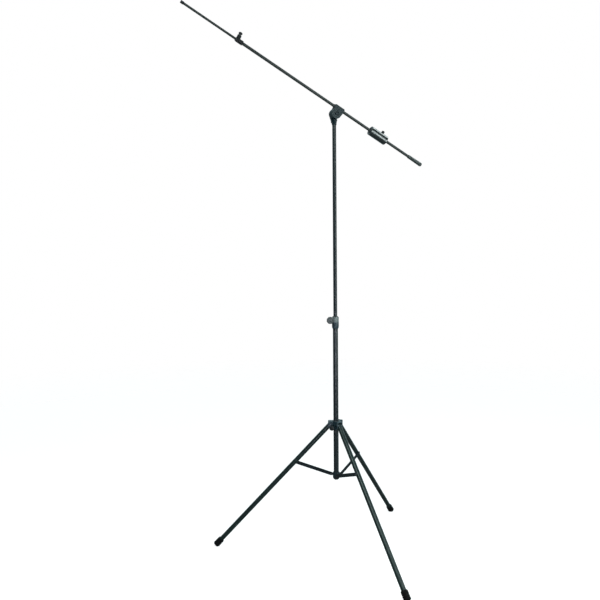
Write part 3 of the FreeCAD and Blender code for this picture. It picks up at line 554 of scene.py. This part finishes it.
def dress(node, material, edge=0.4):
    """Gives a CAD node its material and rounds its sharp edges by this many millimetres."""
    piece = NODES[node]
    mesh = piece.data
    if "custom_normal" in mesh.attributes:
        mesh.attributes.remove(mesh.attributes["custom_normal"])
    for polygon in mesh.polygons:
        polygon.use_smooth = True
    mesh.materials.clear()
    mesh.materials.append(material)
    weld = piece.modifiers.new("weld", "WELD")
    weld.merge_threshold = TINY
    flatten = piece.modifiers.new("flatten", "DECIMATE")
    flatten.decimate_type = "DISSOLVE"
    flatten.angle_limit = FLAT_ANGLE
    bevel = piece.modifiers.new("bevel", "BEVEL")
    bevel.width = edge * MM
    bevel.segments = 3
    bevel.limit_method = "ANGLE"
    bevel.angle_limit = SMOOTH_ANGLE
    bevel.harden_normals = True


BOOM_AXIS = Vector(JOINTS["boom_roll"]["axis"]).normalized()
BOOM_UP = Vector(JOINTS["boom_clutch_turn"]["axis"]).normalized()
COLUMN_PAINT = powder_coat("column_paint", UP, rgb(0.004, 0.008, 0.01), rgb(0.007, 0.013, 0.016))
BOOM_PAINT = powder_coat(
    "boom_paint",
    BOOM_AXIS,
    rgb(0.016, 0.02, 0.019),
    rgb(0.024, 0.03, 0.028),
    shine=0.35,
    gloss=0.42,
)
WEIGHT_PAINT = turned_steel("weight_paint", BOOM_AXIS)

for node in ("lower_tube", "upper_tube"):
    dress(node, COLUMN_PAINT, 0.35)
for node in ("boom_tube", "extension_tube"):
    dress(node, BOOM_PAINT, 0.3)
for side in SIDES:
    leg_paint = powder_coat(
        f"leg_paint_{side}",
        direction_to(f"leg_tube_{side}", f"leg_{side}_pivot"),
        rgb(0.005, 0.013, 0.012),
        rgb(0.009, 0.022, 0.02),
    )
    dress(f"leg_tube_{side}", leg_paint, 0.35)
    dress(f"leg_head_{side}", CASTING, 0.9)
    dress(f"leg_bush_{side}", BLACK_ZINC, 0.3)
    brace_paint = powder_coat(
        f"brace_paint_{side}",
        direction_to(f"brace_{side}", f"brace_{side}_pivot"),
        rgb(0.003, 0.006, 0.008),
        rgb(0.006, 0.013, 0.017),
        shine=0.25,
    )
    dress(f"brace_{side}", brace_paint, 0.8)
    dress(f"brace_rivet_{side}", BLACK_ZINC, 0.3)

dress("leg_hub", HUB_PAINT, 1.2)
dress("bottom_collar", CASTING, 1.2)
for node in ("swivel_base", "swivel_head"):
    dress(node, SWIVEL_PAINT, 1.2)
dress("boom_clutch", BLACK_CASTING, 1.2)
# The collar's upper half carries a painted highlight in pale grey.
dress("height_clutch_collar", collar_with_painted_highlight("collar_paint_with_painted_highlight"), 1.2)
dress("counterweight", WEIGHT_PAINT, 0.8)
for node in ("brace_pins", "leg_pivot_pins", "height_clutch_washer", "swivel_washer"):
    dress(node, BLACK_ZINC, 0.35)
dress("column_end_plug", KNOB, 0.6)
for node in (
    "height_clutch_bush",
    "hub_liner",
    "hub_lock_pad",
    "post_guide_bush",
    "post_end_cap",
    "swivel_friction_washer",
    "boom_liner",
    "boom_clutch_bush",
    "boom_clutch_pad",
    "extension_guide_bush",
    "counterweight_bushes",
    "counterweight_pad",
):
    dress(node, NYLON, 0.35)
dress("swivel_knob_insert", BRASS, 0.3)


# ---------------------------------------------------------------- knobs


def knob(node, place, neck, neck_length, flute_count, flute, reach, material=KNOB):
    """A moulded knob: a necked back, a fluted rim, and a dished face with a raised cap."""
    low, high, rim = measure(node, place)
    head = low + neck_length
    shoulder, dish = 2.5, high - 1.4
    outline = [
        (0, low + 0.4),
        (neck - 1.5, low),
        (neck, low),
        (neck, head - shoulder),
        (neck + 3, head),
        (rim - shoulder, head),
        (rim, head + shoulder),
        (rim, high - 4),
        (rim - 1.8, high - 1.2),
        (rim * 0.78, high),
        (rim * 0.66, high),
        (rim * 0.6, dish),
        (rim * 0.42, dish),
        (rim * 0.38, high - 0.5),
        (0, high - 0.2),
    ]
    curve = filled_in(rounded(outline, radius=1.1), longest=1.6)
    grid = lathe(curve, place, 192, flutes(flute_count, rim, flute, reach))
    add_piece(f"{node}_moulding", to_mesh(grid, node), node, material)


def thumb_screw(
    node, place, neck_start, head_start, shank=M8_RADIUS, neck=6.0, flute_count=6, flute=3.0, reach=1.6
):
    """A thumb screw moulded in one: a threaded shank, a short neck and a fluted head."""
    low, high, rim = measure(node, place)
    chamfer, thread_depth = 0.6, 0.65
    back_edge, face_edge, dish = 1.5, 2.6, 0.8
    outline = [
        (0, low),
        (shank - chamfer, low),
        (shank, low + chamfer),
        (shank, low + neck_start),
        (neck, low + neck_start),
        (neck, low + head_start),
        (rim - back_edge, low + head_start),
        (rim, low + head_start + back_edge),
        (rim, high - face_edge),
        (rim - face_edge, high - 0.2),
        (rim * 0.62, high),
        (rim * 0.5, high - dish),
        (0, high - dish),
    ]
    curve = filled_in(rounded(outline, radius=0.6), longest=0.25)
    rim_shape = flutes(flute_count, rim, flute, reach, softness=0.6)
    screw_shape = thread(shank, thread_depth, M8_PITCH, low + chamfer, low + neck_start - 0.3)

    def shape(angle, radius, height):
        if height < low + neck_start:
            return screw_shape(angle, radius, height)
        return rim_shape(angle, radius, height)

    grid = lathe(curve, place, 96, shape)
    add_piece(f"{node}_moulding", to_mesh(grid, node), node, KNOB)


CLUTCH_PLACE = joint_place("height_clutch_turn", UP)
LOCK_PLACE = joint_place("hub_lock_turn", UP)
SWIVEL_PLACE = joint_place("swivel_lock_turn", BOOM_AXIS)
BOOM_SCREW_PLACE = joint_place("boom_clutch_turn", BOOM_AXIS)
WEIGHT_SCREW_PLACE = joint_place("weight_screw_turn", BOOM_AXIS)
# The boom's axis, with its origin at the swivel and +Z towards the tip.
BOOM_PLACE = place_on(joint_point("boom_roll"), BOOM_AXIS, BOOM_UP)

knob(
    "height_clutch_knob",
    CLUTCH_PLACE,
    neck=9.0,
    neck_length=8.0,
    flute_count=8,
    flute=4.5,
    reach=3.4,
    material=GREY_KNOB,
)
knob("hub_lock_knob", LOCK_PLACE, neck=8.0, neck_length=6.0, flute_count=6, flute=4.0, reach=2.0)
knob("swivel_knob", SWIVEL_PLACE, neck=9.0, neck_length=5.5, flute_count=6, flute=4.5, reach=2.6)
thumb_screw("boom_clutch_thumbscrew", BOOM_SCREW_PLACE, neck_start=17.0, head_start=24.5)
thumb_screw("counterweight_thumbscrew", WEIGHT_SCREW_PLACE, neck_start=13.0, head_start=17.0)


# ---------------------------------------------------------------- screws, nut and stud


def screw(node, place, crest=M8_RADIUS, pitch=M8_PITCH, chamfer=0.8):
    """A threaded rod with chamfered ends."""
    low, high, _ = measure(node, place)
    outline = [
        (0, low),
        (crest - chamfer, low),
        (crest, low + chamfer),
        (crest, high - chamfer),
        (crest - chamfer, high),
        (0, high),
    ]
    curve = filled_in(outline, pitch / 8)
    shape = thread(crest, pitch * THREAD_DEPTH, pitch, low + chamfer, high - chamfer)
    grid = lathe(curve, place, 48, shape)
    add_piece(f"{node}_thread", to_mesh(grid, node), node, BLACK_ZINC)


def cap_bolt():
    """The swivel's bolt: a round head with a hexagon socket, a plain shank and a threaded end."""
    low, high, head = measure("swivel_bolt", SWIVEL_PLACE)
    shank, pitch, thread_length = M8_RADIUS, M8_PITCH, 26
    head_height, head_edge, chamfer = 5.0, 1.2, 0.8
    socket_radius, socket_depth, socket_flats = 3.4, 3.2, 6.0
    outline = [
        (0, low + socket_depth),
        (socket_radius, low + socket_depth),
        (socket_radius, low + 0.3),
        (socket_radius + 0.5, low),
        (head - head_edge, low),
        (head, low + head_edge),
        (head, low + head_height),
        (shank, low + head_height),
        (shank, high - chamfer),
        (shank - chamfer, high),
        (0, high),
    ]
    curve = filled_in(rounded(outline, radius=0.25), pitch / 8)
    socket = hexagon(socket_flats)
    screw_shape = thread(shank, pitch * THREAD_DEPTH, pitch, high - thread_length, high - chamfer)

    def shape(angle, radius, height):
        if radius < socket_radius + 0.2 and height < low + socket_depth + 0.3:
            return socket(angle, radius, height)
        return screw_shape(angle, radius, height)

    grid = lathe(curve, SWIVEL_PLACE, 72, shape)
    add_piece("swivel_bolt_head_and_thread", to_mesh(grid, "bolt"), "swivel_bolt", BURNISHED)


def chamfered_nut():
    """A hexagon nut whose corners are chamfered at both faces."""
    low, high, corner = measure("height_clutch_nut", CLUTCH_PLACE)
    flats = corner * math.sqrt(3)
    bore, lean = M8_RADIUS + 0.05, 0.9
    face = flats / 2 - 0.2
    outline = [
        (bore, low),
        (face, low),
        (corner, low + lean),
        (corner, high - lean),
        (face, high),
        (bore, high),
    ]
    grid = lathe(filled_in(outline, longest=0.8), CLUTCH_PLACE, 72, hexagon(flats), closed=True)
    add_piece("height_clutch_hex_nut", to_mesh(grid, "nut"), "height_clutch_nut", BLACK_ZINC)


def microphone_stud():
    """The stud at the boom's tip: a plug for the tube and a 5/8 inch thread, 27 turns to the inch."""
    low, high, crest = measure("mic_stud", BOOM_PLACE)
    pitch = INCH / 27
    plug, plug_edge, chamfer = 4.9, 0.8, 0.9
    cup, cup_depth = 3.0, 1.9
    thread_start = high - 17
    plug_outline = [(0, low), (plug - plug_edge, low), (plug, low + plug_edge), (plug, thread_start)]
    threaded = [
        (plug, thread_start),
        (crest - chamfer, thread_start),
        (crest, thread_start + chamfer),
        (crest, high - chamfer),
        (crest - chamfer, high),
        (cup, high),
    ]
    curve = filled_in(plug_outline, longest=4.0) + filled_in(threaded, pitch / 8)[1:]
    curve += [Vector((cup - 0.6, high - 1.5)), Vector((0, high - cup_depth))]
    shape = thread(crest, pitch * 0.6, pitch, thread_start + chamfer, high - chamfer)
    grid = lathe(curve, BOOM_PLACE, 96, shape)
    add_piece("mic_stud_thread", to_mesh(grid, "mic_stud"), "mic_stud", BLACK_ZINC)


screw("height_clutch_screw", CLUTCH_PLACE)
screw("hub_lock_screw", LOCK_PLACE)
cap_bolt()
chamfered_nut()
microphone_stud()


# ---------------------------------------------------------------- rubber feet and grip


def rubber_foot(side):
    """A ribbed rubber boot on a leg's end, its sole worn level with the floor."""
    pivot, leg, node = f"leg_{side}_pivot", f"leg_tube_{side}", f"foot_{side}"
    place = place_on(joint_point(pivot), direction_to(leg, pivot), UP)
    low, _, rim = measure(node, place)
    _, tube_end, bore = measure(leg, place)
    sole = tube_end + 6
    groove, upper_groove, lower_groove = 1.3, low + 21, low + 32
    sleeve, ring = rim - 0.4, rim - 0.2
    outer = [
        (bore, low),
        (rim - 2.5, low),
        (rim - 0.6, low + 3),
        (sleeve, upper_groove - 1),
        (sleeve - groove, upper_groove),
        (sleeve - groove, upper_groove + 3),
        (rim - 0.3, upper_groove + 4),
        (ring, lower_groove - 1),
        (ring - groove, lower_groove),
        (ring - groove, lower_groove + 3),
        (rim, lower_groove + 4),
        (rim, sole - 3.5),
        (rim - 3.2, sole),
        (0, sole),
    ]
    inner = [(0, tube_end), (bore, tube_end)]
    curve = filled_in(rounded(outer, radius=0.9), longest=2.0) + [Vector(point) for point in inner]
    rib_count, rib_depth = 24, 0.5
    ribs_start, ribs_end, fade_length = 4, 18, 2

    def ribs(angle, radius, height):
        """Shallow grip ribs round the boot's upper sleeve."""
        if radius < rim - 3.0 or not low + ribs_start < height < low + ribs_end:
            return radius
        fade = min(1.0, (height - low - ribs_start) / fade_length, (low + ribs_end - height) / fade_length)
        return radius - rib_depth * fade * (0.5 + 0.5 * math.cos(rib_count * angle))

    grid = lathe(curve, place, 144, ribs, closed=True)
    geometry = list(grid.verts) + list(grid.edges) + list(grid.faces)
    bmesh.ops.bisect_plane(grid, geom=geometry, plane_co=(0, 0, 0), plane_no=(0, 0, -1), clear_outer=True)
    rim_edges = [edge for edge in grid.edges if edge.is_boundary]
    bmesh.ops.holes_fill(grid, edges=rim_edges, sides=0)
    bmesh.ops.recalc_face_normals(grid, faces=grid.faces)
    add_piece(f"foot_boot_{side}", to_mesh(grid, node), node, RUBBER)


def boom_grip():
    """The tapered grip pushed over the boom's rear end, with shallow finger rings."""
    low, high, rim = measure("rear_grip", BOOM_PLACE)
    _, _, bore = measure("boom_tube", BOOM_PLACE)
    mouth = rim - 1.3
    floor = low + 7
    outline = [
        (0, low),
        (rim - 5.5, low),
        (rim - 1.4, low + 2.2),
        (rim, floor),
        (mouth, high - 3),
        (mouth - 1.2, high),
        (bore, high),
        (bore, floor),
        (0, floor),
    ]
    curve = filled_in(rounded(outline, radius=1.5), longest=0.9)
    ring_spacing, ring_depth = 5.0, 0.45
    rings_start, rings_end, fade_length = 14, 12, 4

    def rings(angle, radius, height):
        if radius < mouth - 0.3 or not low + rings_start < height < high - rings_end:
            return radius
        fade = min(1.0, (height - low - rings_start) / fade_length, (high - rings_end - height) / fade_length)
        ridge = 0.5 - 0.5 * math.cos(math.tau * (height - low) / ring_spacing)
        return radius - ring_depth * fade * ridge**2

    grid = lathe(curve, BOOM_PLACE, 96, rings)
    add_piece("rear_grip_sleeve", to_mesh(grid, "grip"), "rear_grip", GRIP_VINYL)


for side in SIDES:
    rubber_foot(side)
boom_grip()


# ---------------------------------------------------------------- studio


def stage_floor():
    """A floor that is white to the camera, dim in reflections, and fades out with distance."""
    reach, fade_start, fade_end = 30.0, 1.5, 8.0
    mesh = bpy.data.meshes.new("floor")
    corners = [(-reach, -reach, 0), (reach, -reach, 0), (reach, reach, 0), (-reach, reach, 0)]
    mesh.from_pydata(corners, [], [(0, 1, 2, 3)])
    floor = bpy.data.objects.new("floor", mesh)
    bpy.context.scene.collection.objects.link(floor)
    material = bpy.data.materials.new("floor")
    material.use_nodes = True
    tree = material.node_tree
    surface = tree.nodes["Principled BSDF"]
    surface.inputs["Emission Color"].default_value = WHITE
    surface.inputs["Roughness"].default_value = 0.9
    surface.inputs["Specular IOR Level"].default_value = 0.1
    path = tree.nodes.new("ShaderNodeLightPath")
    for socket, unseen, seen in (("Base Color", 0.25, 0.5), ("Emission Strength", 0.0, 0.8)):
        level = tree.nodes.new("ShaderNodeMapRange")
        level.inputs["To Min"].default_value = unseen
        level.inputs["To Max"].default_value = seen
        tree.links.new(path.outputs["Is Camera Ray"], level.inputs["Value"])
        tree.links.new(level.outputs[0], surface.inputs[socket])
    clear = tree.nodes.new("ShaderNodeBsdfTransparent")
    blend = tree.nodes.new("ShaderNodeMixShader")
    where = tree.nodes.new("ShaderNodeTexCoord")
    distance = tree.nodes.new("ShaderNodeVectorMath")
    distance.operation = "LENGTH"
    fade = tree.nodes.new("ShaderNodeMapRange")
    fade.inputs["From Min"].default_value = fade_start
    fade.inputs["From Max"].default_value = fade_end
    links = tree.links
    links.new(where.outputs["Object"], distance.inputs[0])
    links.new(distance.outputs["Value"], fade.inputs["Value"])
    links.new(fade.outputs[0], blend.inputs[0])
    links.new(surface.outputs[0], blend.inputs[1])
    links.new(clear.outputs[0], blend.inputs[2])
    links.new(blend.outputs[0], tree.nodes["Material Output"].inputs["Surface"])
    mesh.materials.append(material)


def backdrop():
    """White to the camera; to everything else a room that is dim in front and bright behind."""
    world = bpy.data.worlds.new("studio")
    world.use_nodes = True
    bpy.context.scene.world = world
    tree = world.node_tree
    links = tree.links
    room = tree.nodes["Background"]
    room.inputs["Color"].default_value = rgb(0.72, 0.95, 1.0)
    direction = tree.nodes.new("ShaderNodeTexCoord")
    parts = tree.nodes.new("ShaderNodeSeparateXYZ")
    links.new(direction.outputs["Generated"], parts.inputs[0])
    glow = tree.nodes.new("ShaderNodeMapRange")
    for name, value in (("From Min", -0.3), ("From Max", 0.9), ("To Min", 0.1), ("To Max", 0.85)):
        glow.inputs[name].default_value = value
    links.new(parts.outputs["Y"], glow.inputs["Value"])
    links.new(glow.outputs[0], room.inputs["Strength"])
    white = tree.nodes.new("ShaderNodeBackground")
    white.inputs["Color"].default_value = WHITE
    white.inputs["Strength"].default_value = 1.0
    path = tree.nodes.new("ShaderNodeLightPath")
    blend = tree.nodes.new("ShaderNodeMixShader")
    links.new(path.outputs["Is Camera Ray"], blend.inputs[0])
    links.new(room.outputs[0], blend.inputs[1])
    links.new(white.outputs[0], blend.inputs[2])
    links.new(blend.outputs[0], tree.nodes["World Output"].inputs["Surface"])


def soft_box(name, position, target, width, height, power, colour=(1.0, 1.0, 1.0)):
    """A rectangular lamp at a position, aimed at a target. Its size is in metres, its power in watts."""
    data = bpy.data.lights.new(name, "AREA")
    data.color = colour
    data.shape = "RECTANGLE"
    data.size = width
    data.size_y = height
    data.energy = power
    lamp = bpy.data.objects.new(name, data)
    bpy.context.scene.collection.objects.link(lamp)
    lamp.location = position
    aim = Vector(target) - Vector(position)
    lamp.rotation_mode = "QUATERNION"
    lamp.rotation_quaternion = aim.to_track_quat("-Z", "Y")


def camera():
    """A standing photographer's camera, almost square to the stand and looking slightly down."""
    distance, azimuth, height, focal_length = 3.8053, math.radians(0.94), 1.618, 40.51
    turn_left, look_down, roll = math.radians(3.93), math.radians(2.88), math.radians(-0.5)
    level = math.cos(look_down)
    forward = Vector((-math.sin(turn_left) * level, math.cos(turn_left) * level, -math.sin(look_down)))
    right = forward.cross(UP).normalized()
    above = right.cross(forward)
    right_rolled = right * math.cos(roll) + above * math.sin(roll)
    data = bpy.data.cameras.new("camera")
    data.lens = focal_length
    data.clip_end = 100.0
    eye = bpy.data.objects.new("camera", data)
    bpy.context.scene.collection.objects.link(eye)
    turn = Matrix((right_rolled, right_rolled.cross(forward), -forward)).transposed().to_4x4()
    turn.translation = (distance * math.sin(azimuth), -distance * math.cos(azimuth), height)
    eye.matrix_world = turn
    bpy.context.scene.camera = eye


stage_floor()
backdrop()
middle = (CAD_LOW + CAD_HIGH) / 2
counterweight_side, leg_height, column_height = (0.25, 0.13, 2.36), (0, 0, 0.6), (0, 0, 1.2)
soft_box(
    "side_strip",
    (2.45, -1.9, 1.9),
    middle,
    width=0.5,
    height=3.4,
    power=70,
    colour=(0.88, 1.0, 1.0),
)
soft_box(
    "rear_top",
    (2.3, 1.2, 4.4),
    counterweight_side,
    width=0.9,
    height=0.9,
    power=25,
    colour=(0.9, 1.0, 0.98),
)
soft_box(
    "overhead",
    (-0.8, -2.8, 3.8),
    leg_height,
    width=1.6,
    height=1.2,
    power=60,
    colour=(0.8, 1.0, 0.95),
)
soft_box("front_fill", (0.8, -4.6, 3.2), middle, width=1.6, height=1.6, power=12)
soft_box(
    "front_low",
    (-0.4, -3.2, 0.75),
    column_height,
    width=1.0,
    height=0.3,
    power=22,
    colour=(0.86, 0.86, 1.0),
)
camera()
bpy.context.scene.view_settings.view_transform = "Standard"
